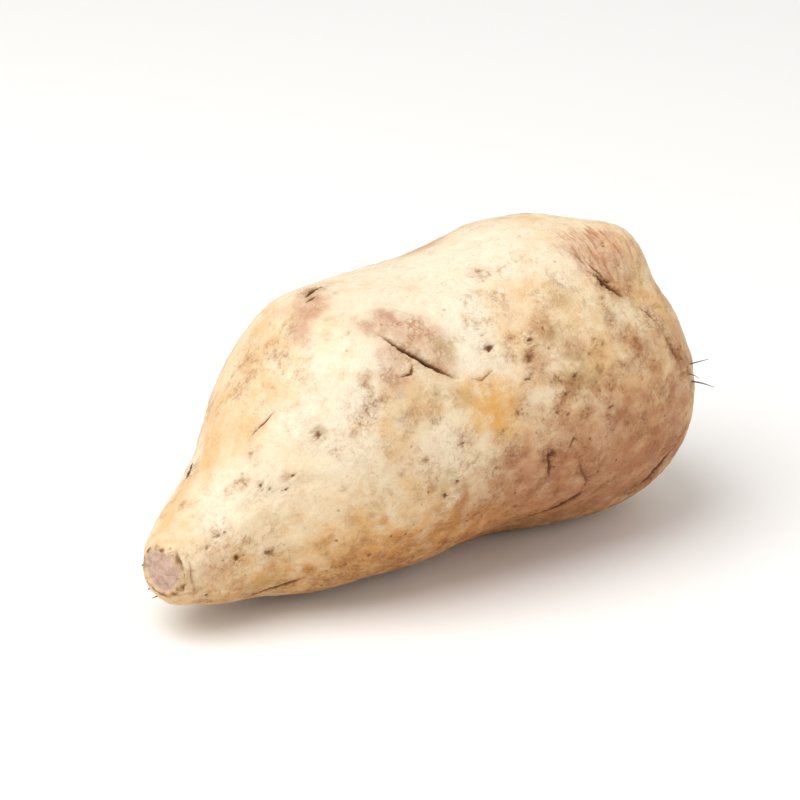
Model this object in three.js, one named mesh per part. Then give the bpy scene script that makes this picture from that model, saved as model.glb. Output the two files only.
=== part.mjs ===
// A sweet potato: one grown body that lies on a small flat spot.
//
// Millimetres, +Z up. The body runs along X, from the cut neck at -X to the crown at +X.
// The origin is on the surface that the body lies on, under the middle of its box.
//
// The skin is a subdivided icosahedron wrapped round a bent centre line. The stations give
// the centre line and the ellipse round it, and the swellings then raise or sink the skin.

import * as THREE from "three";
import { mergeVertices } from "three/addons/utils/BufferGeometryUtils.js";

// Driving dimensions

const ICOSAHEDRON_DETAIL = 15; // 20 x 16 x 16 = 5120 triangles
const PRESSED_DEPTH = 1.2; // how far the lowest skin is pressed in to make the flat spot
const SKIN_COLOUR = 0xe6c9a0;
const SKIN_ROUGHNESS = 0.8;

// From the scar at the neck's end to the middle of the crown. The stations are evenly
// spaced round the icosahedron's arc from pole to pole.
const STATIONS = [
  { x: -82, y: -11, z: 19, halfWidth: 0, halfHeight: 0 },
  { x: -80.5, y: -11, z: 19, halfWidth: 9, halfHeight: 9 },
  { x: -73, y: -9, z: 19.5, halfWidth: 12, halfHeight: 11.5 },
  { x: -64, y: -7, z: 21.5, halfWidth: 16, halfHeight: 16 },
  { x: -51, y: -4, z: 29.5, halfWidth: 22.5, halfHeight: 25 },
  { x: -33, y: -2, z: 38, halfWidth: 34, halfHeight: 35.5 },
  { x: -11, y: 0, z: 39, halfWidth: 39, halfHeight: 38.5 },
  { x: 13, y: 0, z: 40, halfWidth: 40, halfHeight: 40 },
  { x: 36, y: 1, z: 41, halfWidth: 41, halfHeight: 41.5 },
  { x: 56, y: 2, z: 39.5, halfWidth: 39.5, halfHeight: 39.5 },
  { x: 71, y: 3, z: 37.5, halfWidth: 33, halfHeight: 32.5 },
  { x: 81, y: 4, z: 36, halfWidth: 18.5, halfHeight: 18.5 },
  { x: 83.5, y: 4, z: 36, halfWidth: 0, halfHeight: 0 },
];

// Each is centred on a point near the skin and fades over its reach. A negative lift
// sinks the skin.
const SWELLINGS = {
  stemStub: { x: 58, y: -8, z: 73, reach: 9, lift: 6 },
  hollowUnderStub: { x: 74, y: -2, z: 61, reach: 14, lift: -4.5 },
  saddleOnTop: { x: 8, y: 10, z: 80, reach: 22, lift: -3 },
  foldBelowCrown: { x: 18, y: -22, z: 8, reach: 15, lift: -4 },
  rollUnderNeck: { x: -44, y: -18, z: 8, reach: 18, lift: 2.5 },
  hollowAboveRoll: { x: -52, y: -24, z: 30, reach: 12, lift: -1.5 },
  dentOnBack: { x: -22, y: 38, z: 50, reach: 20, lift: -3 },
  lobeOnBack: { x: 34, y: 38, z: 26, reach: 24, lift: 2.5 },
  dentBehindNeck: { x: -58, y: 14, z: 40, reach: 12, lift: -2 },
};

// The middle height of the body, and how much its length turns a swelling's direction
// towards the ends.
const BODY_MIDDLE = 40;
const END_TURN = 0.45;

// A station's value, with the stations mirrored past each pole. A half size comes back
// on the other side of the pole, so its sign changes.
function stationValue(index, key) {
  const last = STATIONS.length - 1;
  const mirrored = index < 0 ? -index : index > last ? 2 * last - index : index;
  const sign = mirrored !== index && key.startsWith("half") ? -1 : 1;
  return sign * STATIONS[mirrored][key];
}

// A smooth value along the body, from 0 at the first station to 1 at the last. It runs
// through every station, and its slope there is the mean of the steps on both sides.
function alongStations(fraction, key) {
  const last = STATIONS.length - 1;
  const start = Math.min(Math.floor(fraction * last), last - 1);
  const step = fraction * last - start;
  const [before, from, to, after] = [-1, 0, 1, 2].map((k) => stationValue(start + k, key));
  const slopeFrom = (to - before) / 2;
  const slopeTo = (after - from) / 2;
  const square = 3 * (to - from) - 2 * slopeFrom - slopeTo;
  const cube = 2 * (from - to) + slopeFrom + slopeTo;
  return from + step * (slopeFrom + step * (square + step * cube));
}

// The point of the plain body for a direction from the icosahedron's middle.
function wrap(direction) {
  const fraction = Math.acos(THREE.MathUtils.clamp(-direction.x, -1, 1)) / Math.PI;
  const turn = Math.atan2(direction.z, direction.y);
  const [x, y, z, halfWidth, halfHeight] = ["x", "y", "z", "halfWidth", "halfHeight"].map(
    (key) => alongStations(fraction, key),
  );
  return new THREE.Vector3(x, y + halfWidth * Math.cos(turn), z + halfHeight * Math.sin(turn));
}

// The point after every swelling and hollow within reach has moved it.
function swell(point) {
  const moved = point.clone();
  for (const { x, y, z, reach, lift } of Object.values(SWELLINGS)) {
    const outward = new THREE.Vector3(x * END_TURN, y, z - BODY_MIDDLE).normalize();
    const distance = point.distanceTo(new THREE.Vector3(x, y, z));
    moved.addScaledVector(outward, lift * Math.exp(-((distance / reach) ** 2)));
  }
  return moved;
}

function skinGeometry() {
  const sphere = new THREE.IcosahedronGeometry(1, ICOSAHEDRON_DETAIL);
  sphere.deleteAttribute("normal");
  sphere.deleteAttribute("uv");
  const skin = mergeVertices(sphere, 1e-6);
  const points = skin.getAttribute("position");
  const direction = new THREE.Vector3();
  for (let i = 0; i < points.count; i += 1) {
    direction.fromBufferAttribute(points, i).normalize();
    points.setXYZ(i, ...swell(wrap(direction)));
  }
  skin.computeBoundingBox();
  const middle = skin.boundingBox.getCenter(new THREE.Vector3());
  skin.translate(-middle.x, -middle.y, -skin.boundingBox.min.z - PRESSED_DEPTH);
  for (let i = 0; i < points.count; i += 1) {
    points.setZ(i, Math.max(points.getZ(i), 0));
  }
  skin.computeVertexNormals();
  return skin;
}

const skinMaterial = new THREE.MeshStandardMaterial({
  color: SKIN_COLOUR,
  roughness: SKIN_ROUGHNESS,
  metalness: 0,
});

const sweetPotato = new THREE.Mesh(skinGeometry(), skinMaterial);
sweetPotato.name = "sweet_potato";

const part = new THREE.Group();
part.add(sweetPotato);

export default part;
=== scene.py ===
import math
import random
from collections import namedtuple

import bmesh
import bpy
import numpy as np
from bpy.props import FloatProperty, FloatVectorProperty, IntProperty, PointerProperty
from mathutils import Matrix, Vector, noise
from mathutils.bvhtree import BVHTree
from mathutils.kdtree import KDTree


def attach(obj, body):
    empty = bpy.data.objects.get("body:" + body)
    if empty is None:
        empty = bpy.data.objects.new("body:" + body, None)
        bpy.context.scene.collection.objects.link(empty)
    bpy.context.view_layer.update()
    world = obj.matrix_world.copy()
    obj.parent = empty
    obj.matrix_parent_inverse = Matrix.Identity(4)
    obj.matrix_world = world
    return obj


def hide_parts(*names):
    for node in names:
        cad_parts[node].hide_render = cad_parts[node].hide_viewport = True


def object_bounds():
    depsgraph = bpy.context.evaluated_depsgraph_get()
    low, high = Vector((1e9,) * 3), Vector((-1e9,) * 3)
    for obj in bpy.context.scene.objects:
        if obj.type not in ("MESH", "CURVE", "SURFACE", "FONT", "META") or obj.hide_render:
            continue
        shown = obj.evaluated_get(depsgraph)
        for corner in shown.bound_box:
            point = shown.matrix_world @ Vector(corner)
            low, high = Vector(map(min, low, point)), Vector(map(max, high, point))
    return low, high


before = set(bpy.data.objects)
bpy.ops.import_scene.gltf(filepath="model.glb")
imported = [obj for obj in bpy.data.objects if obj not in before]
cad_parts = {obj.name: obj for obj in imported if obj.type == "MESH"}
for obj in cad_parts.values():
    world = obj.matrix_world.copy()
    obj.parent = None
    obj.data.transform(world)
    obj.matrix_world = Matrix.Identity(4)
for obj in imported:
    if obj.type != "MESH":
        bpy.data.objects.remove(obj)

bl_info = {
    "name": "Sweet Potato",
    "version": (1, 0, 0),
    "blender": (4, 5, 0),
    "location": "3D View > Sidebar > Sweet Potato",
    "description": "The grown skin, root hairs and studio stage of one sweet potato",
    "category": "Object",
}

MM = 0.001
TUBER = "sweet_potato"
CAD_LOW, CAD_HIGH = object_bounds()
MIDDLE = (CAD_LOW + CAD_HIGH) / 2

# Places on the skin are given as (along, turn). Along is the share of the tuber's length
# from the cut neck, and turn is in degrees round it, from 0 on top to 90 at the front (-Y).

Crack = namedtuple("Crack", "route width depth ink")
Pit = namedtuple("Pit", "along turn width depth ink")
Blot = namedtuple("Blot", "along turn reach strength")

# Width and depth in millimetres. The last number is how dark the mark is painted, from 0 to 1: soil
# at first, and towards 1 painted shade deep inside.
CRACKS = {
    "slit in the scar pad": Crack([(0.37, 30), (0.39, 39), (0.42, 48), (0.46, 57)], 0.62, 1.8, 1.0),
    "hook below the slit": Crack([(0.37, 50), (0.39, 50), (0.40, 46)], 0.45, 0.5, 0.7),
    "edge of the bare patch": Crack([(0.48, 58), (0.50, 60), (0.53, 57)], 0.4, 0.3, 0.45),
    "crease under the stub": Crack([(0.76, 35), (0.78, 42), (0.81, 48)], 0.9, 1.1, 0.75),
    "crease's far end": Crack([(0.81, 48), (0.84, 54), (0.85, 60)], 0.8, 0.7, 0.6),
    "fibre split": Crack([(0.76, 28), (0.77, 34), (0.78, 40)], 0.5, 0.6, 0.6),
    "fibre split 2": Crack([(0.75, 24), (0.76, 33)], 0.4, 0.5, 0.4),
    "crown furrow": Crack([(0.85, 58), (0.87, 70), (0.90, 82)], 1.2, 0.9, 0.35),
    "fold under the crown": Crack(
        [(0.60, 145), (0.63, 135), (0.66, 126), (0.70, 117)], 1.3, 0.9, 1.0),
    "fold's upper end": Crack([(0.68, 120), (0.69, 113), (0.67, 106), (0.66, 100)], 0.7, 0.7, 0.45),
    "short cut": Crack([(0.64, 96), (0.65, 92), (0.66, 94)], 0.5, 0.4, 0.6),
    "scar pad's top edge": Crack(
        [(0.37, 29), (0.39, 22), (0.42, 20), (0.44, 27), (0.46, 42)], 0.8, 0.25, 0.22),
    "split by the floor": Crack([(0.82, 131), (0.85, 124), (0.88, 114)], 1.3, 0.8, 0.95),
    "roll above the neck": Crack([(0.12, 56), (0.16, 66), (0.20, 72), (0.24, 78)], 1.7, 0.45, 0.08),
    "ring on the neck": Crack([(0.04, 60), (0.04, 90), (0.05, 120)], 0.6, 0.35, 0.35),
    "crease under the neck": Crack([(0.12, 150), (0.18, 139), (0.23, 133)], 0.9, 0.6, 0.7),
    "scratch": Crack([(0.17, 24), (0.19, 27), (0.21, 28)], 0.30, 0.2, 0.75),
    "second scratch": Crack([(0.21, 36), (0.21, 50)], 0.28, 0.15, 0.3),
    "gash on the shoulder": Crack([(0.33, -6), (0.35, -9), (0.37, -9)], 0.8, 0.9, 1.0),
    "gash's near edge": Crack([(0.32, -2), (0.34, -3)], 0.5, 0.4, 0.7),
    "crown's end scar": Crack([(0.96, -45), (0.97, -75), (0.97, -105)], 0.7, 0.8, 0.8),
    "crown's end scar 2": Crack([(0.96, 120), (0.97, 150)], 0.6, 0.6, 0.6),
    "crown's end split": Crack([(0.95, 20), (0.97, 10), (0.98, -20)], 0.5, 0.6, 0.6),
    "nick in the crown": Crack([(0.60, 93), (0.61, 105)], 0.6, 0.5, 0.8),
}

PITS = {
    "eye in the bare patch": Pit(0.53, 50, 1.25, 0.8, 1.0),
    "green eye": Pit(0.24, 55, 1.2, 0.6, 0.75),
    "neck eye": Pit(0.11, 90, 1.0, 0.7, 1.0),
    "neck eye 2": Pit(0.16, 105, 0.9, 0.6, 0.8),
    "neck eye 3": Pit(0.09, 60, 0.9, 0.4, 0.6),
    "neck eye 4": Pit(0.07, 65, 0.7, 0.4, 0.6),
    "neck eye 5": Pit(0.09, 85, 0.5, 0.3, 0.6),
    "neck eye 6": Pit(0.07, 125, 0.9, 0.4, 0.8),
    "shoulder eye": Pit(0.16, 55, 0.7, 0.4, 0.7),
    "shoulder eye 2": Pit(0.20, 65, 0.6, 0.4, 0.7),
    "shoulder eye 3": Pit(0.17, 62, 0.5, 0.3, 0.6),
    "shoulder eye 4": Pit(0.19, 70, 0.5, 0.3, 0.6),
    "shoulder eye 5": Pit(0.23, 35, 0.6, 0.3, 0.5),
    "shoulder eye 6": Pit(0.33, 25, 0.7, 0.3, 0.45),
    "belly eye": Pit(0.42, 100, 0.9, 0.5, 0.9),
    "belly eye 2": Pit(0.45, 80, 0.7, 0.4, 0.7),
    "belly eye 3": Pit(0.44, 95, 0.6, 0.4, 0.8),
    "belly eye 4": Pit(0.31, 125, 0.7, 0.4, 0.7),
    "belly eye 5": Pit(0.42, 60, 0.6, 0.3, 0.5),
    "crown eye": Pit(0.60, 52, 0.9, 0.5, 0.8),
    "crown eye 2": Pit(0.59, 58, 1.3, 0.6, 0.75),
    "crown eye 3": Pit(0.58, 65, 0.8, 0.5, 0.8),
    "crown eye 4": Pit(0.62, 80, 0.9, 0.4, 0.7),
    "crown eye 5": Pit(0.64, 82, 0.8, 0.4, 0.7),
    "crown eye 6": Pit(0.55, 75, 0.9, 0.4, 0.7),
    "bruise by the floor": Pit(0.82, 130, 2.0, 1.2, 1.0),
    "bruise on the belly": Pit(0.61, 95, 1.5, 0.7, 0.9),
    "belly eye 6": Pit(0.66, 70, 0.9, 0.5, 0.8),
    "belly eye 7": Pit(0.64, 75, 0.8, 0.5, 0.8),
    "belly eye 8": Pit(0.72, 85, 0.8, 0.4, 0.7),
    "end eye": Pit(0.97, 60, 1.2, 0.8, 0.9),
    "end eye 2": Pit(0.96, 95, 0.8, 0.5, 0.7),
    "end eye 3": Pit(0.97, -150, 1.1, 0.7, 0.8),
    "end eye 4": Pit(0.95, -15, 0.7, 0.5, 0.8),
    "stub eye": Pit(0.81, 25, 0.7, 0.5, 0.85),
    "stub eye 2": Pit(0.77, 40, 1.2, 0.5, 0.9),
    "crown eye 7": Pit(0.75, 55, 1.0, 0.4, 0.5),
    "crown eye 8": Pit(0.77, 62, 1.0, 0.4, 0.5),
}

# Soft patches of colour, each fading over its reach in millimetres.
TINTS = {
    "pale": [
        Blot(0.52, 35, 9, 1.0), Blot(0.51, 50, 8, 1.0), Blot(0.46, 5, 32, 0.8),
        Blot(0.31, 40, 14, 0.9), Blot(0.26, 60, 12, 0.7), Blot(0.62, 0, 24, 0.8),
        Blot(0.10, 40, 9, 0.8), Blot(0.16, 50, 9, 0.6), Blot(0.22, 40, 8, 0.5),
        Blot(0.40, 80, 10, 0.4), Blot(0.72, 30, 9, 0.6),
    ],
    "tan": [
        Blot(0.96, 40, 12, 0.9), Blot(0.97, -80, 13, 0.9), Blot(0.96, 150, 13, 0.9),
        Blot(0.94, 80, 12, 0.9), Blot(0.80, 90, 14, 0.9), Blot(0.70, 110, 14, 1.0),
        Blot(0.83, 110, 12, 1.0), Blot(0.57, 110, 12, 1.0), Blot(0.90, 100, 12, 0.9),
        Blot(0.70, 60, 20, 0.4), Blot(0.78, 75, 20, 0.7), Blot(0.87, 90, 20, 0.8),
        Blot(0.62, 100, 16, 0.9), Blot(0.74, 110, 18, 0.8), Blot(0.85, 120, 16, 0.9),
        Blot(0.88, 45, 20, 0.8), Blot(0.25, 5, 11, 1.0), Blot(0.21, -10, 9, 0.9),
        Blot(0.36, 45, 7, 0.8), Blot(0.32, 60, 9, 0.9), Blot(0.30, 65, 7, 0.9),
        Blot(0.41, 65, 7, 0.7), Blot(0.55, 35, 7, 0.9), Blot(0.59, 20, 4, 1.0),
        Blot(0.62, 25, 3.5, 1.0), Blot(0.66, 25, 4.5, 0.9), Blot(0.42, 90, 12, 0.9),
        Blot(0.36, 100, 10, 0.7), Blot(0.09, 65, 7, 0.7), Blot(0.07, 105, 11, 0.9),
        Blot(0.15, 125, 16, 0.8), Blot(0.32, 130, 20, 0.9), Blot(0.50, 120, 22, 1.0),
        Blot(0.63, 75, 7, 0.9), Blot(0.70, 75, 7, 0.9), Blot(0.68, 40, 7, 0.8),
        Blot(0.59, 60, 6, 0.9), Blot(0.54, 90, 9, 0.9), Blot(0.20, 10, 7, 0.6),
        Blot(0.35, 145, 20, 0.9), Blot(0.62, 135, 24, 1.0), Blot(0.78, 130, 20, 0.9),
    ],
    # Painted shade: patches multiplied darker over the underside (turn 178) and the lower front,
    # where shade falls.
    "painted_shade": [
        Blot(0.66, 125, 24, 0.9), Blot(0.80, 115, 22, 0.9), Blot(0.53, 120, 18, 0.8),
        Blot(0.72, 95, 20, 0.4), Blot(0.86, 100, 16, 0.4), Blot(0.42, 130, 18, 0.6),
        Blot(0.30, 135, 15, 0.4), Blot(0.16, 135, 9, 0.1), Blot(0.58, 100, 14, 0.4),
        Blot(0.50, 178, 36, 0.7), Blot(0.76, 178, 34, 0.6), Blot(0.24, 178, 26, 0.5),
        Blot(0.86, 60, 13, 0.3), Blot(0.78, 40, 6, 0.4), Blot(0.88, 140, 18, 0.7),
    ],
    "netted": [
        Blot(0.96, 30, 9, 0.8), Blot(0.97, -90, 9, 0.8), Blot(0.96, 140, 9, 0.7),
        Blot(0.40, 27, 5.5, 1.0), Blot(0.42, 33, 6.5, 1.0), Blot(0.44, 42, 6, 1.0),
        Blot(0.36, 45, 5, 0.8), Blot(0.32, 55, 6, 0.6), Blot(0.30, 60, 5, 0.5),
        Blot(0.78, 35, 8, 0.8), Blot(0.81, 45, 7, 0.8), Blot(0.32, 0, 5, 0.8),
        Blot(0.27, 0, 7, 0.6), Blot(0.56, 35, 6, 0.5), Blot(0.08, 80, 7, 0.6),
        Blot(0.60, 55, 6, 0.7), Blot(0.63, 90, 9, 0.6), Blot(0.43, 90, 8, 0.6),
        Blot(0.78, 60, 8, 0.6), Blot(0.85, 95, 12, 0.5), Blot(0.22, -5, 8, 0.5),
    ],
    "rose": [
        Blot(0.37, 27, 4, 0.8), Blot(0.45, 50, 4.5, 0.6), Blot(0.08, 90, 5, 0.5),
        Blot(0.63, 50, 4.5, 0.7), Blot(0.67, 60, 4, 0.6), Blot(0.76, 60, 5, 0.5),
        Blot(0.80, 70, 7, 0.5), Blot(0.37, 40, 4, 0.6), Blot(0.60, 60, 4.5, 0.7),
        Blot(0.97, -40, 12, 0.6), Blot(0.96, 110, 12, 0.6), Blot(0.84, 100, 14, 0.7),
        Blot(0.60, 105, 12, 0.8), Blot(0.72, 120, 16, 0.9), Blot(0.84, 120, 14, 0.9),
        Blot(0.40, 25, 4.5, 1.0), Blot(0.42, 33, 7, 0.7), Blot(0.44, 42, 6.5, 0.6),
        Blot(0.32, 0, 6.5, 0.9), Blot(0.30, 5, 5, 0.7), Blot(0.28, 10, 4, 0.6),
        Blot(0.80, 30, 11, 0.6), Blot(0.63, 100, 17, 0.75), Blot(0.72, 95, 15, 0.45),
        Blot(0.52, 105, 14, 0.6), Blot(0.77, 110, 20, 0.6), Blot(0.60, 120, 17, 0.9),
        Blot(0.36, 50, 6, 0.5), Blot(0.90, 75, 12, 0.5), Blot(0.70, 130, 16, 0.8),
    ],
    # The orange stain near (0.50, 70) with faint streaks above it, and painted warm shade along the
    # underside band, turns 115 to 140.
    "stain_and_warm_shade": [
        Blot(0.29, 115, 9, 0.55), Blot(0.36, 120, 10, 0.6), Blot(0.62, 45, 6, 0.3),
        Blot(0.15, 130, 7, 0.6), Blot(0.75, 65, 8, 0.15), Blot(0.20, 130, 8, 0.5),
        Blot(0.46, 130, 14, 0.7), Blot(0.62, 140, 16, 0.5), Blot(0.25, 140, 12, 0.5),
        Blot(0.50, 68, 7.5, 0.85), Blot(0.52, 75, 6, 1.0), Blot(0.47, 65, 4.5, 0.5),
        Blot(0.60, 30, 4, 0.25), Blot(0.58, 40, 4, 0.35), Blot(0.57, 50, 4.5, 0.45),
        Blot(0.27, 120, 14, 0.35), Blot(0.42, 125, 14, 0.55), Blot(0.15, 125, 12, 0.35),
        Blot(0.54, 130, 14, 0.6), Blot(0.66, 65, 14, 0.1), Blot(0.34, 140, 14, 0.5),
    ],
    "moss": [
        Blot(0.46, 45, 3.6, 0.9), Blot(0.67, 70, 6, 0.7), Blot(0.65, 55, 5, 0.5),
        Blot(0.68, 40, 5, 0.5), Blot(0.32, 15, 2.6, 0.8), Blot(0.30, 20, 2.2, 0.7),
        Blot(0.24, 55, 2.4, 0.9), Blot(0.17, 135, 6, 0.7), Blot(0.42, 60, 3, 0.5),
        Blot(0.46, 65, 3, 0.4), Blot(0.74, 50, 5, 0.4), Blot(0.42, 95, 5, 0.5),
    ],
    "soil": [
        Blot(0.61, 95, 4.5, 0.9), Blot(0.65, 75, 4.5, 0.7), Blot(0.83, 130, 5, 0.8),
        Blot(0.85, 60, 3.5, 0.7), Blot(0.87, 70, 4, 0.8), Blot(0.89, 80, 4.5, 0.9),
        Blot(0.63, 50, 3.5, 0.7), Blot(0.67, 60, 3.5, 0.6), Blot(0.80, 70, 4, 0.7),
        Blot(0.59, 20, 3, 0.7), Blot(0.30, 60, 3, 0.6), Blot(0.37, 65, 3, 0.6),
        Blot(0.41, 65, 3, 0.6), Blot(0.33, 55, 2.5, 0.6), Blot(0.38, 42, 3, 0.5),
        Blot(0.11, 130, 5, 0.5), Blot(0.28, 135, 9, 0.7), Blot(0.23, -10, 4, 0.5),
        Blot(0.25, 10, 3, 0.5), Blot(0.50, 95, 4, 0.6), Blot(0.54, 90, 3, 0.7),
        Blot(0.97, 60, 4, 0.8), Blot(0.96, -60, 5, 0.8), Blot(0.97, 150, 4, 0.7),
        Blot(0.78, 95, 4, 0.6), Blot(0.68, 105, 4, 0.6), Blot(0.60, 110, 5, 0.6),
        Blot(0.72, 90, 3.5, 0.6), Blot(0.84, 85, 4, 0.5), Blot(0.56, 120, 8, 0.6),
        Blot(0.50, 130, 10, 0.6), Blot(0.70, 130, 10, 0.6), Blot(0.38, 130, 9, 0.4),
        Blot(0.59, 58, 2.6, 0.8), Blot(0.61, 100, 3.5, 0.6), Blot(0.82, 132, 5, 1.0),
        Blot(0.63, 80, 3.2, 0.6), Blot(0.56, 75, 3, 0.6), Blot(0.67, 140, 6, 0.7),
        Blot(0.48, 110, 5, 0.5), Blot(0.77, 40, 4, 0.9), Blot(0.35, -8, 4, 0.6),
        Blot(0.36, 50, 3, 0.6), Blot(0.40, 150, 24, 0.5), Blot(0.62, 160, 26, 0.6),
        Blot(0.63, 75, 3, 0.7), Blot(0.71, 75, 3.5, 0.6), Blot(0.87, 110, 5, 0.8),
        Blot(0.75, 55, 2.5, 0.7), Blot(0.77, 62, 2.5, 0.6), Blot(0.84, 55, 3, 0.7),
        Blot(0.25, 0, 3, 0.5), Blot(0.07, 135, 3, 0.8), Blot(0.16, 105, 2.5, 0.6),
        Blot(0.65, 95, 3.5, 0.6), Blot(0.55, 100, 3.5, 0.5), Blot(0.45, 80, 2.5, 0.6),
    ],
}

# How many marks of each kind grow on the far side, where nothing is listed above. A tint
# has its count and the middle of its reach in millimetres.
FAR_TURNS = (-168, -22)
FAR_BLOTS = {
    "pale": (8, 22), "tan": (20, 15), "painted_shade": (6, 20), "netted": (10, 8), "rose": (8, 15),
    "stain_and_warm_shade": (4, 9), "moss": (8, 5), "soil": (12, 5),
}
FAR_PITS = 26
FAR_CRACKS = 11

# Small soil freckles scattered over the near side: how many, and between which alongs,
# turns, reaches in millimetres and strengths.
Freckles = namedtuple("Freckles", "count along turn reach strength")
FRECKLES = [
    Freckles(44, (0.54, 0.93), (40, 122), (1.0, 2.8), (0.5, 1.0)),
    Freckles(22, (0.05, 0.34), (-15, 130), (0.8, 1.8), (0.3, 0.8)),
    Freckles(20, (0.34, 0.56), (48, 130), (0.8, 2.0), (0.3, 0.8)),
]

# The middle of the stem stub, its overhanging tip, and the notch under the tip.
STUB_PAD = (0.80, 24)
STUB_TIP = (0.85, 30)
STUB_NOTCH = (0.84, 44)
STUB_PAD_REACH = 10.5 * MM
STUB_TIP_REACH = 7 * MM
STUB_NOTCH_REACH = 5.5 * MM

# A root hair: where it grows, its length and thickness in millimetres, and its lean along
# the tuber and round it.
Hair = namedtuple("Hair", "along turn length width lean_along lean_round")
HAIRS = [
    Hair(0.92, 75, 5.2, 0.42, 0.5, -0.3),
    Hair(0.92, 83, 6.4, 0.50, 0.4, 0.3),
    Hair(0.91, 80, 3.4, 0.36, -0.2, 0.5),
    Hair(0.11, -24, 3.4, 1.10, 2.2, -0.2),
    Hair(0.12, -27, 2.4, 0.80, 1.6, 0.5),
    Hair(0.02, -150, 1.6, 0.9, -0.5, 0.3),
    Hair(0.02, -105, 1.4, 1.0, -0.6, -0.3),
    Hair(0.03, -165, 2.4, 0.5, -0.6, 0.6),
    Hair(0.70, -70, 7.5, 0.48, 0.3, 0.5),
    Hair(0.71, -75, 4.2, 0.38, -0.4, 0.2),
    Hair(0.43, -110, 5.5, 0.45, -0.5, -0.4),
    Hair(0.90, -60, 4.8, 0.42, 0.6, 0.4),
]


# The sizes and colours that a user would change


class PotatoSkinSettings(bpy.types.PropertyGroup):
    cuts: IntProperty(
        name="Cuts", description="Cuts of each CAD edge into the fine skin", default=4, min=1)
    smoothing: IntProperty(
        name="Smoothing", description="Passes that round off the CAD facets", default=22, min=0)
    lumps: FloatProperty(
        name="Lumps", description="Height of the broad lumps", default=0.9 * MM, unit="LENGTH")
    wrinkles: FloatProperty(
        name="Wrinkles", description="Height of the fine wrinkles", default=0.16 * MM,
        unit="LENGTH")
    stub_lift: FloatProperty(
        name="Stub lift", description="How far the stem stub stands beyond the CAD's",
        default=2.2 * MM, unit="LENGTH")
    seed: IntProperty(name="Seed", description="Seed of the far side's marks", default=11)
    pale: FloatVectorProperty(
        name="Pale skin", description="Bare, rubbed skin", subtype="COLOR",
        default=(0.86, 0.76, 0.585))
    cream: FloatVectorProperty(
        name="Cream skin", description="The ground colour", subtype="COLOR",
        default=(0.83, 0.675, 0.455))
    buff: FloatVectorProperty(
        name="Buff skin", description="The ground's warmer clouds", subtype="COLOR",
        default=(0.75, 0.495, 0.245))
    tan: FloatVectorProperty(
        name="Dark scurf", description="The corky brown flecks", subtype="COLOR",
        default=(0.40, 0.185, 0.066))
    scurf: FloatVectorProperty(
        name="Light scurf", description="The thin, pale brown mottling", subtype="COLOR",
        default=(0.55, 0.315, 0.145))
    rose: FloatVectorProperty(
        name="Rose skin", description="The pink-brown blush", subtype="COLOR",
        default=(0.50, 0.235, 0.135))
    # Used for the orange stain, and also as painted warm shade along the underside.
    stain_and_warm_shade: FloatVectorProperty(
        name="Amber stain", description="The orange stain of dried sap", subtype="COLOR",
        default=(0.74, 0.38, 0.09))
    moss: FloatVectorProperty(
        name="Green tint", description="The olive sun marks", subtype="COLOR",
        default=(0.40, 0.31, 0.13))
    soil: FloatVectorProperty(
        name="Soil", description="Dried soil and dark cork", subtype="COLOR",
        default=(0.200, 0.078, 0.022))
    # Painted shade: this brown is multiplied over the underside and the lower front to darken them
    # as shade would.
    painted_shade: FloatVectorProperty(
        name="Umber glaze", description="Darkens the side that lay in the soil",
        subtype="COLOR", default=(0.74, 0.56, 0.42))
    crumbs: FloatVectorProperty(
        name="Cork crumbs", description="The smallest dark crumbs of cork", subtype="COLOR",
        default=(0.26, 0.105, 0.032))
    scar: FloatVectorProperty(
        name="Dried scar", description="The dried cut at the neck's end", subtype="COLOR",
        default=(0.60, 0.41, 0.33))
    scar_dark: FloatVectorProperty(
        name="Dark of the scar", description="The scar's darker spots", subtype="COLOR",
        default=(0.47, 0.30, 0.24))
    dark: FloatVectorProperty(
        name="Crack colour", description="The shade deep in the cracks", subtype="COLOR",
        default=(0.078, 0.028, 0.010))
    roughness: FloatProperty(
        name="Roughness", description="Roughness of the dry skin", default=0.62, min=0, max=1)


class PotatoStageSettings(bpy.types.PropertyGroup):
    azimuth: FloatProperty(
        name="Azimuth", description="The camera's place round the tuber",
        default=math.radians(-34), subtype="ANGLE")
    elevation: FloatProperty(
        name="Elevation", description="The camera's angle above the floor",
        default=math.radians(22), subtype="ANGLE")
    distance: FloatProperty(
        name="Distance", description="From the camera to the tuber", default=0.94,
        unit="LENGTH")
    frame_width: FloatProperty(
        name="Frame width", description="Width of what the camera sees at the tuber",
        default=0.205, unit="LENGTH")
    floor_colour: FloatVectorProperty(
        name="Floor", description="Colour of the plain floor", subtype="COLOR",
        default=(0.86, 0.855, 0.85))
    key_power: FloatProperty(
        name="Key light", description="Power of the soft light, upper left", default=16,
        subtype="POWER", unit="POWER")
    fill_power: FloatProperty(
        name="Fill light", description="Power of the soft light on the right", default=2.0,
        subtype="POWER", unit="POWER")
    sky: FloatProperty(
        name="Room light", description="Strength of the even room light", default=0.64, min=0)


# The fine skin and the places on it


def fine_copy(node, cuts, smoothing):
    """A merged, subdivided and smoothed copy of a CAD node's mesh, as a bmesh."""
    bm = bmesh.new()
    bm.from_mesh(node.data)
    bmesh.ops.remove_doubles(bm, verts=bm.verts, dist=0.001 * MM)
    bmesh.ops.subdivide_edges(bm, edges=bm.edges, cuts=cuts, use_grid_fill=True)
    for _ in range(smoothing):
        bmesh.ops.smooth_vert(
            bm, verts=bm.verts, factor=0.5, use_axis_x=True, use_axis_y=True, use_axis_z=True)
    return bm


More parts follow.
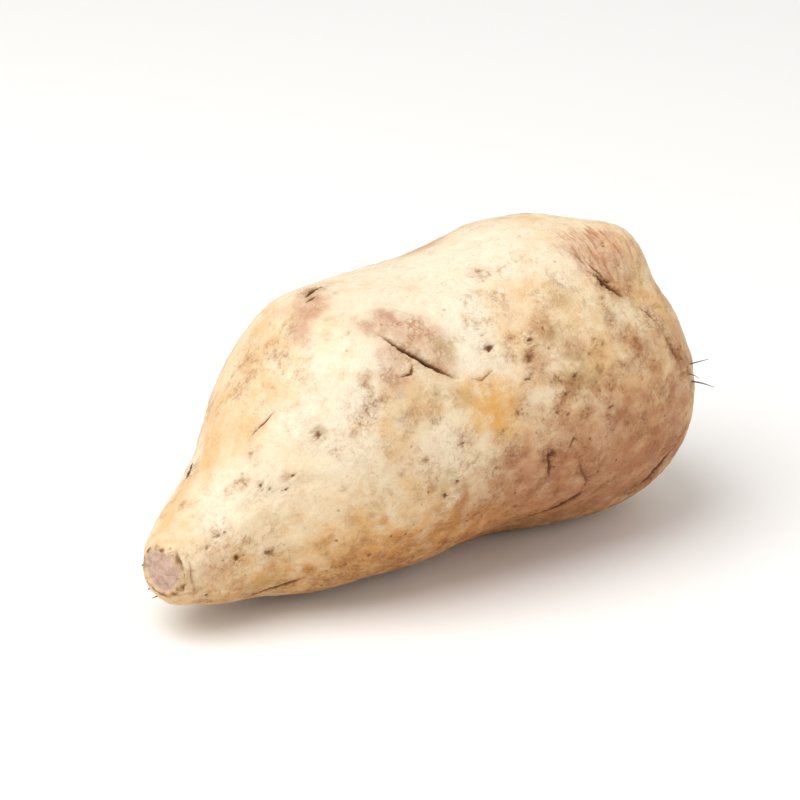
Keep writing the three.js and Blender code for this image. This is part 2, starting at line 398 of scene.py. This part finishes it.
class SkinMap:
    """Turns (along, turn) into a point of the skin."""

    STATIONS = 40

    def __init__(self, bm):
        self.tree = BVHTree.FromBMesh(bm)
        points = np.array([v.co for v in bm.verts])
        self.low, self.high = points[:, 0].min(), points[:, 0].max()
        self.x = np.linspace(self.low + 1.5 * MM, self.high - 1.5 * MM, self.STATIONS)
        rings = [points[np.abs(points[:, 0] - x) < 2.5 * MM] for x in self.x]
        self.y = [(ring[:, 1].min() + ring[:, 1].max()) / 2 for ring in rings]
        self.z = [(ring[:, 2].min() + ring[:, 2].max()) / 2 for ring in rings]

    def centre(self, along):
        x = self.low + along * (self.high - self.low)
        return Vector((x, np.interp(x, self.x, self.y), np.interp(x, self.x, self.z)))

    def point(self, along, turn):
        start = self.centre(along)
        angle = math.radians(turn)
        ray = Vector((0, -math.sin(angle), math.cos(angle)))
        place, normal, _, _ = self.tree.ray_cast(start, ray)
        if place is None:
            raise RuntimeError(f"no skin at {along}, {turn}")
        return place, normal

    def route(self, places, step=0.4 * MM):
        """Points on the skin, about one step apart, along the places given."""
        points = []
        for (along, turn), (to_along, to_turn) in zip(places, places[1:]):
            reach = (self.point(to_along, to_turn)[0] - self.point(along, turn)[0]).length
            count = max(2, round(reach / step))
            for i in range(count + 1):
                t = i / count
                place = along + t * (to_along - along), turn + t * (to_turn - turn)
                points.append(self.point(*place)[0])
        return np.array(points)


def refine(bm, centres, reach, cuts):
    """Cuts the edges near the centres finer."""
    tree = KDTree(len(centres))
    for i, centre in enumerate(centres):
        tree.insert(centre, i)
    tree.balance()
    near = {v for v in bm.verts if tree.find(v.co)[2] < reach}
    edges = [e for e in bm.edges if e.verts[0] in near and e.verts[1] in near]
    bmesh.ops.subdivide_edges(bm, edges=edges, cuts=cuts, use_grid_fill=True)
    bmesh.ops.triangulate(bm, faces=[f for f in bm.faces if len(f.verts) > 3])


# Marks placed by a seeded draw


def scattered_marks(seed):
    """Marks for the side that the lists leave bare, and the near side's freckles."""
    draw = random.Random(seed)

    def place(low=0.06, high=0.94):
        return draw.uniform(low, high), draw.uniform(*FAR_TURNS)

    cracks, pits, blots = [], [], {tint: [] for tint in TINTS}
    for _ in range(FAR_CRACKS):
        along, turn = place(0.12, 0.88)
        lean, span = draw.uniform(-0.015, 0.015), draw.uniform(7, 20)
        route = [(along + lean * t, turn + span * t) for t in (0, 0.5, 1)]
        cracks.append(Crack(route, draw.uniform(0.35, 0.9), draw.uniform(0.3, 1.0), 0.6))
    for _ in range(FAR_PITS):
        width = draw.uniform(0.5, 1.2)
        pits.append(Pit(*place(), width, 0.5 * width, draw.uniform(0.5, 1)))
    for tint, (count, reach) in FAR_BLOTS.items():
        for _ in range(count):
            blot = Blot(*place(), reach * draw.uniform(0.5, 1.2), draw.uniform(0.5, 0.9))
            blots[tint].append(blot)
    for patch in FRECKLES:
        for _ in range(patch.count):
            ranges = (patch.along, patch.turn, patch.reach, patch.strength)
            blots["soil"].append(Blot(*(draw.uniform(*limits) for limits in ranges)))
    return cracks, pits, blots


# Relief and paint


def layered_noise(points, size, layers=3):
    """Noise from about -1 to 1 at every point, with features of about this size."""
    scaled = points / size
    return np.array([noise.fractal(Vector(p), 1.0, 2.1, layers) for p in scaled])


def over(below, above):
    """Lays one coverage over another, both from 0 to 1."""
    return 1 - (1 - below) * (1 - np.clip(above, 0, 1))


def bell(distance, reach):
    """1 at the middle, fading smoothly to nothing past the reach."""
    return np.exp(-((distance / reach) ** 2))


class Relief:
    """The heights and the coverage of every tint at each point of the fine skin."""

    def __init__(self, bm):
        bm.normal_update()
        self.points = np.array([v.co for v in bm.verts])
        self.normals = np.array([v.normal for v in bm.verts])
        self.height = np.zeros(len(self.points))
        self.tints = {name: np.zeros(len(self.points)) for name in [*TINTS, "ink", "stub", "scar"]}
        self.ragged = layered_noise(self.points, 5 * MM)
        self.fine = layered_noise(self.points, 1.6 * MM)
        self.grit = layered_noise(self.points, 0.9 * MM)

    def near(self, centre, reach):
        return np.nonzero(((self.points - np.array(centre)) ** 2).sum(1) < reach * reach)[0]

    def crack(self, route, width, depth, ink):
        """A groove along the route with low lips, shallower towards its ends."""
        middle = (route.min(0) + route.max(0)) / 2
        reach = np.linalg.norm(route - middle, axis=1).max() + 5 * width
        at = self.near(middle, reach)
        gaps = np.linalg.norm(self.points[at, None] - route[None], axis=2)
        nearest = gaps.argmin(1)
        taper = np.sin(math.pi * (nearest + 0.7) / (len(route) + 0.4)) ** 0.6
        gap = gaps.min(1) * (1 + 0.5 * self.grit[at])
        wide = width * (0.45 + 0.55 * taper)
        self.height[at] -= depth * taper * bell(gap, wide)
        self.height[at] += 0.16 * depth * taper * bell(gap - 2.2 * wide, wide)
        # Painted shade deep in the groove, with soil round it.
        self.tints["ink"][at] = over(self.tints["ink"][at], ink * taper * bell(gap, 0.9 * wide))
        soiled = 0.6 * ink * taper * bell(gap, 3.2 * wide)
        self.tints["soil"][at] = over(self.tints["soil"][at], soiled)

    def pit(self, centre, width, depth, ink):
        at = self.near(centre, 5 * width)
        gap = np.linalg.norm(self.points[at] - np.array(centre), axis=1)
        gap = gap * (1 + 0.8 * self.grit[at])
        self.height[at] -= depth * bell(gap, width)
        self.height[at] += 0.25 * depth * bell(gap - 2 * width, width)
        # Painted shade in the middle of the pit, with soil round it.
        self.tints["ink"][at] = over(self.tints["ink"][at], 0.74 * ink * bell(gap, 0.75 * width))
        self.tints["soil"][at] = over(self.tints["soil"][at], 0.5 * ink * bell(gap, 2 * width))

    def blot(self, tint, centre, reach, strength):
        at = self.near(centre, 2 * reach)
        gap = np.linalg.norm(self.points[at] - np.array(centre), axis=1)
        gap = gap * (1 + 0.45 * self.ragged[at])
        share = np.clip(1.35 - gap / reach, 0, 1)
        share = share * share * (3 - 2 * share)
        self.tints[tint][at] = over(self.tints[tint][at], strength * share)

    def lumps(self, lumps, wrinkles):
        """Broad lumps, shallow lengthwise furrows and fine wrinkles across the tuber."""
        stretched = self.points * np.array([0.35, 1, 1])
        squeezed = self.points * np.array([1.8, 0.7, 0.7])
        self.height += lumps * 0.75 * layered_noise(self.points, 26 * MM, 2)
        self.height += lumps * 0.45 * layered_noise(stretched + 0.3, 9 * MM, 2)
        self.height += lumps * 0.16 * layered_noise(self.points + 0.7, 5 * MM, 3)
        self.height += wrinkles * layered_noise(squeezed + 0.5, 2.6 * MM, 3)
        self.height += wrinkles * 0.5 * self.fine


def raise_stub(relief, skin, lift):
    """The stem stub: a knob of fibres that overhangs a notch on its crown side."""
    pad, _ = skin.point(*STUB_PAD)
    tip, tip_normal = skin.point(*STUB_TIP)
    notch, notch_normal = skin.point(*STUB_NOTCH)
    points = relief.points.copy()
    offset = points - np.array(pad)
    downhill = np.array((notch - pad).normalized())
    gap = np.linalg.norm(offset, axis=1) / STUB_PAD_REACH * (1 + 0.15 * relief.ragged)
    share = np.clip(1.33 - gap, 0, 1)
    share = share * share * (3 - 2 * share)
    swollen = bell(np.linalg.norm(points - np.array(tip), axis=1), STUB_TIP_REACH)
    sunk = bell(np.linalg.norm(points - np.array(notch), axis=1), STUB_NOTCH_REACH)
    outward = np.array((tip_normal + Vector((0.5, -0.3, 0.3))).normalized())
    relief.points += outward * (lift * swollen)[:, None]
    relief.points -= np.array(notch_normal) * (0.95 * lift * sunk)[:, None]
    fibres = layered_noise(points * np.array([1, 0.14, 0.14]), 1.5 * MM, 2)
    near = bell(np.linalg.norm(offset - downhill * 5 * MM, axis=1), 11 * MM)
    relief.height += near * fibres * 0.42 * MM
    relief.tints["stub"] = over(relief.tints["stub"], share)


def cut_scar(relief, skin):
    """The neck's rounded end, with a dried oval scar inside a low corky rim."""
    middle = np.array(skin.centre(0.0))
    middle += np.array((0, -4.2, 0.9)) * MM
    offset = relief.points - middle
    front = np.clip(1 - (relief.points[:, 0] - skin.low) / (9 * MM), 0, 1)
    reach = np.hypot(offset[:, 1] - 2.5 * MM, offset[:, 2]) / (10.5 * MM)
    relief.points[:, 0] += front * 3.4 * MM * np.clip(reach, 0, 1) ** 3
    gap = np.hypot(offset[:, 1] / (6.3 * MM), offset[:, 2] / (5.6 * MM))
    gap = gap * (1 + 0.10 * relief.ragged) + 4 * (1 - np.minimum(front * 1.6, 1))
    turn = np.arctan2(offset[:, 1], offset[:, 2])
    disc = np.clip((1 - gap) / 0.18, 0, 1)
    rim = bell(gap - 1.06, 0.13)
    rays = np.clip(np.cos(turn * 5 + 4 * relief.ragged) - 0.72, 0, 1) * disc * 2
    rings = np.sin(gap * 17 + 2 * relief.ragged) * disc
    relief.height += (-0.5 * disc + 0.4 * rim - 0.35 * rays + 0.12 * rings) * MM
    relief.tints["scar"] = over(relief.tints["scar"], disc)
    relief.tints["ink"] = over(relief.tints["ink"], 0.45 * rays + 0.32 * rim * (1 + relief.fine))
    relief.tints["soil"] = over(relief.tints["soil"], 0.5 * rim)


def write_attributes(mesh, tints):
    for name, values in tints.items():
        layer = mesh.attributes.new(name, "FLOAT", "POINT")
        layer.data.foreach_set("value", np.clip(values, 0, 1).astype(np.float32))


# Materials


class Shader:
    """Short calls for the nodes that the materials use."""

    def __init__(self, name):
        self.material = bpy.data.materials.new(name)
        self.material.use_nodes = True
        self.tree = self.material.node_tree
        self.surface = self.tree.nodes["Principled BSDF"]

    def node(self, kind, inputs=(), **settings):
        made = self.tree.nodes.new(kind)
        for key, value in settings.items():
            setattr(made, key, value)
        for socket, value in dict(inputs).items():
            self.feed(made.inputs[socket], value)
        return made

    def feed(self, socket, value):
        if isinstance(value, bpy.types.NodeSocket):
            self.tree.links.new(value, socket)
        else:
            socket.default_value = value

    def millimetres(self):
        """The place on the object, in millimetres."""
        place = self.node("ShaderNodeTexCoord").outputs["Object"]
        return self.node("ShaderNodeMapping", {"Vector": place, "Scale": (1000,) * 3}).outputs[0]

    def stretched(self, place, scale):
        return self.node("ShaderNodeMapping", {"Vector": place, "Scale": scale}).outputs[0]

    def warped(self, place, size, shift):
        """The place, moved about by noise of this size."""
        cloud = self.node("ShaderNodeTexNoise", {"Vector": place, "Scale": 1 / size})
        inputs = {0: cloud.outputs["Color"], 1: (-0.5,) * 3}
        centred = self.node("ShaderNodeVectorMath", inputs, operation="ADD").outputs[0]
        inputs = {0: centred, 1: (2 * shift,) * 3, 2: place}
        return self.node("ShaderNodeVectorMath", inputs, operation="MULTIPLY_ADD").outputs[0]

    def noise(self, place, size, detail=3.0, roughness=0.55, warp=0.0):
        inputs = {
            "Vector": place, "Scale": 1 / size, "Detail": detail, "Roughness": roughness,
            "Distortion": warp,
        }
        return self.node("ShaderNodeTexNoise", inputs).outputs["Fac"]

    def cells(self, place, size, feature="F1", output="Distance"):
        inputs = {"Vector": place, "Scale": 1 / size}
        made = self.node("ShaderNodeTexVoronoi", inputs, feature=feature)
        return made.outputs[output]

    def band(self, value, low, high, bottom=0.0, top=1.0):
        """Runs smoothly from bottom to top as the value goes from low to high."""
        inputs = {0: value, 1: low, 2: high, 3: bottom, 4: top}
        made = self.node("ShaderNodeMapRange", interpolation_type="SMOOTHSTEP")
        for index, number in inputs.items():
            self.feed(made.inputs[index], number)
        return made.outputs[0]

    def maths(self, operation, first, second=0.0):
        made = self.node("ShaderNodeMath", operation=operation)
        self.feed(made.inputs[0], first)
        self.feed(made.inputs[1], second)
        return made.outputs[0]

    def times(self, *values):
        product = values[0]
        for value in values[1:]:
            product = self.maths("MULTIPLY", product, value)
        return product

    def plus(self, *values):
        total = values[0]
        for value in values[1:]:
            total = self.maths("ADD", total, value)
        return total

    def mix(self, share, below, above, blend="MIX"):
        """One colour laid over another by a share from 0 to 1."""
        made = self.node("ShaderNodeMix", data_type="RGBA", blend_type=blend)
        for socket, value in zip((0, 6, 7), (share, below, above)):
            self.feed(made.inputs[socket], value if hasattr(value, "node") else as_rgba(value))
        return made.outputs[2]

    def painted(self, name):
        return self.node("ShaderNodeAttribute", attribute_name=name).outputs["Fac"]


def as_rgba(value):
    return value if isinstance(value, float) else (*value, 1.0)


def skin_material(skin):
    """Dry sweet potato skin: cream clouds, corky scurf, sun and soil marks, with painted shade in
    the cracks and on the underside.
    """
    s = Shader("potato_skin")
    at = s.millimetres()
    tan, rose, stain_and_warm_shade = s.painted("tan"), s.painted("rose"), s.painted("stain_and_warm_shade")
    moss, pale, soil = s.painted("moss"), s.painted("pale"), s.painted("soil")
    ink, stub, scar = s.painted("ink"), s.painted("stub"), s.painted("scar")

    # Ground: cream with warm clouds, rubbed paler in places
    clouds = s.band(s.noise(at, 17, 4, 0.6, 0.6), 0.40, 0.66)
    ground = s.mix(clouds, skin.cream, skin.buff)
    warmth = s.times(s.band(s.noise(at, 7, 5, 0.6), 0.38, 0.7), s.plus(0.25, s.times(tan, 0.75)))
    ground = s.mix(warmth, ground, skin.buff)
    rubbed = s.times(pale, s.band(s.noise(at, 6, 5, 0.65), 0.28, 0.5, 0.45, 1.0))
    ground = s.mix(rubbed, ground, skin.pale)

    # Broad tints, broken up by noise
    blush = s.times(rose, s.band(s.noise(at, 4.5, 6, 0.7), 0.30, 0.62, 0.35, 0.85))
    colour = s.mix(blush, ground, skin.rose)
    # The orange stain, and painted warm shade along the underside.
    sap_and_warm_shade = s.times(stain_and_warm_shade, s.band(s.noise(at, 3.6, 5, 0.7), 0.32, 0.60, 0.25, 0.95))
    colour = s.mix(sap_and_warm_shade, colour, skin.stain_and_warm_shade)
    sunned = s.times(moss, s.band(s.noise(at, 2.4, 4, 0.7), 0.36, 0.62, 0.15, 0.75))
    colour = s.mix(sunned, colour, skin.moss)

    # Scurf: corky mottling in clusters, ragged flecks on it and darker crumbs
    scurfy = s.plus(0.30, s.times(tan, 0.70))
    clusters = s.band(s.noise(at, 8, 5, 0.62, 0.5), 0.41, 0.60)
    mottle = s.times(scurfy, clusters, s.band(s.noise(at, 2.7, 6, 0.75, 0.6), 0.45, 0.63))
    colour = s.mix(s.times(mottle, 0.78), colour, skin.scurf)
    flecks = s.band(s.noise(at, 1.05, 6, 0.75, 0.7), 0.50, 0.63)
    flecks = s.times(flecks, s.plus(s.times(mottle, 0.75), s.times(scurfy, 0.25)))
    colour = s.mix(s.times(flecks, 0.92), colour, skin.tan)
    crumbs = s.band(s.noise(s.stretched(at, (1, 1, 1.6)), 0.75, 4, 0.8, 1.4), 0.635, 0.70)
    crumbs = s.times(crumbs, s.band(s.noise(at, 3.6, 4, 0.6), 0.47, 0.60), s.plus(0.2, tan), 0.55)
    colour = s.mix(crumbs, colour, skin.crumbs)
    worn = s.cells(s.stretched(s.warped(at, 2.4, 1.6), (0.8, 1, 1)), 1.8, "DISTANCE_TO_EDGE")
    net = s.times(s.band(worn, 0.0, 0.16, 1.0, 0.0), s.band(s.noise(at, 4, 4, 0.6), 0.48, 0.60))
    netted = s.plus(0.10, s.times(stub, 0.2), s.times(s.painted("netted"), 0.6))
    colour = s.mix(s.times(net, netted), colour, skin.tan)
    cork = s.maths("MAXIMUM", mottle, flecks)

    # Lenticels: pin pricks, each in some of the cells only
    pricks = s.band(s.cells(at, 4.4), 0.055, 0.11, 1.0, 0.0)
    chosen = s.node("ShaderNodeSeparateColor", {0: s.cells(at, 4.4, output="Color")}).outputs[0]
    pricks = s.times(pricks, s.band(chosen, 0.56, 0.60), s.plus(0.45, s.times(tan, 0.5)))
    colour = s.mix(s.times(pricks, 0.8), colour, skin.soil)

    # Fibres on the stem stub, the dried scar, soil, and painted shade deep in the cracks and pits
    strands = s.noise(s.stretched(at, (1, 0.14, 0.14)), 1.1, 4, 0.6)
    fibrous = s.times(stub, s.band(strands, 0.46, 0.62, 0.1, 0.72))
    colour = s.mix(fibrous, colour, skin.rose)
    threads = s.times(stub, s.band(strands, 0.55, 0.66, 0.0, 0.85))
    colour = s.mix(threads, colour, skin.tan)
    dried = s.mix(s.band(s.noise(at, 1.8, 5, 0.7), 0.38, 0.62), skin.scar, skin.scar_dark)
    colour = s.mix(s.times(scar, 0.85), colour, dried)
    dusty = s.times(soil, s.band(s.noise(at, 2.2, 6, 0.72), 0.40, 0.60, 0.1, 0.8))
    colour = s.mix(dusty, colour, skin.tan)
    caked = s.times(soil, s.band(s.noise(at, 1.3, 5, 0.7), 0.52, 0.64), 0.8)
    colour = s.mix(caked, colour, skin.soil)
    # Soil, then painted shade in the deepest parts of the cracks and pits.
    colour = s.mix(s.band(ink, 0.10, 0.55), colour, skin.soil)
    colour = s.mix(s.band(ink, 0.50, 0.85), colour, skin.dark)

    # Painted shade: the underside and the lower front darkened by a multiplied brown.
    shaded = s.times(s.painted("painted_shade"), s.band(s.noise(at, 9, 5, 0.6), 0.3, 0.6, 0.7, 1.0))
    colour = s.mix(shaded, colour, skin.painted_shade, "MULTIPLY")

    grain = s.noise(at, 0.45, 4, 0.7)
    height = s.plus(
        s.times(s.noise(at, 1.6, 6, 0.65), 0.6), s.times(grain, 0.25), s.times(cork, 0.22),
        s.times(crumbs, 0.12), s.times(pricks, -0.45), s.times(strands, stub, 0.8))
    bump = s.node("ShaderNodeBump", {"Height": height, "Distance": 0.8 * MM, "Strength": 0.8})
    s.feed(s.surface.inputs["Normal"], bump.outputs[0])
    s.feed(s.surface.inputs["Base Color"], colour)
    rough = s.plus(skin.roughness, s.times(cork, 0.25), s.times(pale, -0.10))
    s.feed(s.surface.inputs["Roughness"], rough)
    s.surface.inputs["Specular IOR Level"].default_value = 0.35
    return s.material


def hair_material():
    s = Shader("root_fibre")
    at = s.millimetres()
    streaks = s.band(s.noise(at, 0.5, 4, 0.6), 0.38, 0.62)
    colour = s.mix(streaks, (0.055, 0.035, 0.022), (0.20, 0.13, 0.075))
    s.feed(s.surface.inputs["Base Color"], colour)
    bump = s.node("ShaderNodeBump", {"Height": streaks, "Distance": 0.06 * MM, "Strength": 0.6})
    s.feed(s.surface.inputs["Normal"], bump.outputs[0])
    s.surface.inputs["Roughness"].default_value = 0.8
    return s.material


def floor_material(colour):
    s = Shader("plain_floor")
    s.surface.inputs["Base Color"].default_value = (*colour, 1)
    s.surface.inputs["Roughness"].default_value = 0.9
    s.surface.inputs["Specular IOR Level"].default_value = 0.1
    return s.material


# Pieces


def add_piece(name, bm, material):
    """Makes the bmesh an object at the origin that moves with the tuber."""
    mesh = bpy.data.meshes.new(name)
    bm.to_mesh(mesh)
    bm.free()
    mesh.polygons.foreach_set("use_smooth", [True] * len(mesh.polygons))
    mesh.materials.append(material)
    piece = bpy.data.objects.new(name, mesh)
    bpy.context.scene.collection.objects.link(piece)
    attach(piece, "root")
    return piece


def grow_hair(bm, root, direction, droop, length, width):
    """A tapering root hair, extruded step by step from a small disc sunk in the skin."""
    steps, sides = 7, 6
    turn = direction.to_track_quat("Z", "Y").to_matrix().to_4x4()
    place = Matrix.Translation(root - direction * 0.6 * width) @ turn
    disc = bmesh.ops.create_circle(
        bm, cap_ends=True, segments=sides, radius=width / 2, matrix=place)
    tip = disc["verts"][0].link_faces[0]
    for step in range(steps):
        grown = bmesh.ops.extrude_discrete_faces(bm, faces=[tip])
        tip = grown["faces"][0]
        heading = (direction + droop * (step / steps) ** 1.5).normalized()
        bmesh.ops.translate(bm, verts=tip.verts, vec=heading * length / steps)
        middle = tip.calc_center_median()
        shrink = 1 - 0.75 / (steps - step + 1)
        bmesh.ops.scale(
            bm, verts=tip.verts, vec=(shrink,) * 3, space=Matrix.Translation(-middle))


class POTATO_OT_skin(bpy.types.Operator):
    """Grow the skin over the CAD tuber"""

    bl_idname = "potato.skin"
    bl_label = "Grow the skin"

    def execute(self, context):
        settings = context.scene.potato_skin
        bm = fine_copy(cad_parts[TUBER], settings.cuts, settings.smoothing)
        skin = SkinMap(bm)
        far_cracks, far_pits, more_blots = scattered_marks(settings.seed)
        cracks = [*CRACKS.values(), *far_cracks]
        pits = [*PITS.values(), *far_pits]
        routes = [skin.route(crack.route) for crack in cracks]
        pit_centres = [skin.point(pit.along, pit.turn)[0] for pit in pits]
        refine(bm, np.concatenate(routes), 1.5 * MM, 2)
        refine(bm, pit_centres, 1.5 * MM, 1)
        refine(bm, [skin.point(0.80, 30)[0]], 13 * MM, 1)
        refine(bm, [skin.centre(0.0)], 10.5 * MM, 1)

        relief = Relief(bm)
        relief.lumps(settings.lumps, settings.wrinkles)
        raise_stub(relief, skin, settings.stub_lift)
        cut_scar(relief, skin)
        for tint, blots in TINTS.items():
            for blot in [*blots, *more_blots[tint]]:
                centre = skin.point(blot.along, blot.turn)[0]
                relief.blot(tint, centre, blot.reach * MM, blot.strength)
        for crack, route in zip(cracks, routes):
            relief.crack(route, crack.width * MM, crack.depth * MM, crack.ink)
        for pit, centre in zip(pits, pit_centres):
            relief.pit(centre, pit.width * MM, pit.depth * MM, pit.ink)

        raised = relief.points + relief.normals * relief.height[:, None]
        raised[:, 2] = np.maximum(raised[:, 2], 0)
        for vertex, place in zip(bm.verts, raised):
            vertex.co = place
        bmesh.ops.recalc_face_normals(bm, faces=bm.faces)
        piece = add_piece("potato_skin", bm, skin_material(settings))
        write_attributes(piece.data, relief.tints)
        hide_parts(TUBER)
        print("skin triangles", len(piece.data.polygons))
        return {"FINISHED"}


class POTATO_OT_root_hairs(bpy.types.Operator):
    """Add the root hairs and the dry fibres at the cut neck"""

    bl_idname = "potato.root_hairs"
    bl_label = "Add the root hairs"

    def execute(self, context):
        grown = bmesh.new()
        grown.from_mesh(bpy.data.objects["potato_skin"].data)
        skin = SkinMap(grown)
        bm = bmesh.new()
        for hair in HAIRS:
            root, normal = skin.point(hair.along, hair.turn)
            angle = math.radians(hair.turn)
            round_it = Vector((0, -math.cos(angle), -math.sin(angle)))
            lean = Vector((hair.lean_along, 0, 0)) + round_it * hair.lean_round
            direction = (normal + lean * 0.4).normalized()
            grow_hair(bm, root, direction, lean + Vector((0, 0, -0.3)), hair.length * MM,
                      hair.width * MM)
        grown.free()
        bmesh.ops.recalc_face_normals(bm, faces=bm.faces)
        add_piece("root_hairs", bm, hair_material())
        return {"FINISHED"}


def aim(obj, target):
    obj.rotation_euler = (target - obj.location).to_track_quat("-Z", "Y").to_euler()


def add_soft_light(name, direction, distance, size, power, colour):
    light = bpy.data.lights.new(name, "AREA")
    light.shape = "DISK"
    light.size = size
    light.energy = power
    light.color = colour
    lamp = bpy.data.objects.new(name, light)
    lamp.location = MIDDLE + Vector(direction).normalized() * distance
    aim(lamp, MIDDLE)
    bpy.context.scene.collection.objects.link(lamp)


class POTATO_OT_stage(bpy.types.Operator):
    """Set up the floor, the soft light and the camera"""

    bl_idname = "potato.stage"
    bl_label = "Set up the stage"

    def execute(self, context):
        settings = context.scene.potato_stage
        bm = bmesh.new()
        bmesh.ops.create_circle(bm, cap_ends=True, segments=96, radius=6)
        mesh = bpy.data.meshes.new("floor")
        bm.to_mesh(mesh)
        bm.free()
        mesh.materials.append(floor_material(settings.floor_colour))
        floor = bpy.data.objects.new("floor", mesh)
        context.scene.collection.objects.link(floor)

        world = bpy.data.worlds.new("room")
        context.scene.world = world
        world.use_nodes = True
        world.node_tree.nodes["Background"].inputs["Color"].default_value = (1, 0.995, 0.985, 1)
        world.node_tree.nodes["Background"].inputs["Strength"].default_value = settings.sky

        e, a = settings.elevation, settings.azimuth
        back = Vector((math.sin(a) * math.cos(e), -math.cos(a) * math.cos(e), math.sin(e)))
        right = Vector((math.cos(a), math.sin(a), 0))
        up = back.cross(right)
        key_side = -right * 0.50 + up * 0.85 + back * 0.70
        fill_side = right * 1.0 + up * 0.25 + back * 0.5
        add_soft_light("key", key_side, 1.3, 1.3, settings.key_power, (1, 0.985, 0.96))
        add_soft_light("fill", fill_side, 1.2, 0.8, settings.fill_power, (1, 0.98, 0.96))

        lens = bpy.data.cameras.new("camera")
        lens.lens = lens.sensor_width * settings.distance / settings.frame_width
        camera = bpy.data.objects.new("camera", lens)
        camera.location = MIDDLE + back * settings.distance
        aim(camera, MIDDLE)
        context.scene.collection.objects.link(camera)
        context.scene.camera = camera
        context.scene.view_settings.view_transform = "Standard"
        return {"FINISHED"}


class POTATO_PT_panel(bpy.types.Panel):
    """Lists the steps that make the sweet potato"""

    bl_label = "Sweet Potato"
    bl_idname = "POTATO_PT_panel"
    bl_space_type = "VIEW_3D"
    bl_region_type = "UI"
    bl_category = "Sweet Potato"

    def draw(self, context):
        for operator in OPERATORS:
            self.layout.operator(operator.bl_idname)
        for group in (context.scene.potato_skin, context.scene.potato_stage):
            column = self.layout.column()
            for key in group.__annotations__:
                column.prop(group, key)


OPERATORS = (POTATO_OT_stage, POTATO_OT_skin, POTATO_OT_root_hairs)
CLASSES = (PotatoSkinSettings, PotatoStageSettings, *OPERATORS, POTATO_PT_panel)


def register():
    for cls in CLASSES:
        bpy.utils.register_class(cls)
    bpy.types.Scene.potato_skin = PointerProperty(type=PotatoSkinSettings)
    bpy.types.Scene.potato_stage = PointerProperty(type=PotatoStageSettings)


def unregister():
    del bpy.types.Scene.potato_stage
    del bpy.types.Scene.potato_skin
    for cls in reversed(CLASSES):
        bpy.utils.unregister_class(cls)


def main():
    register()
    bpy.ops.potato.stage()
    bpy.ops.potato.skin()
    bpy.ops.potato.root_hairs()


if __name__ == "__main__":
    main()
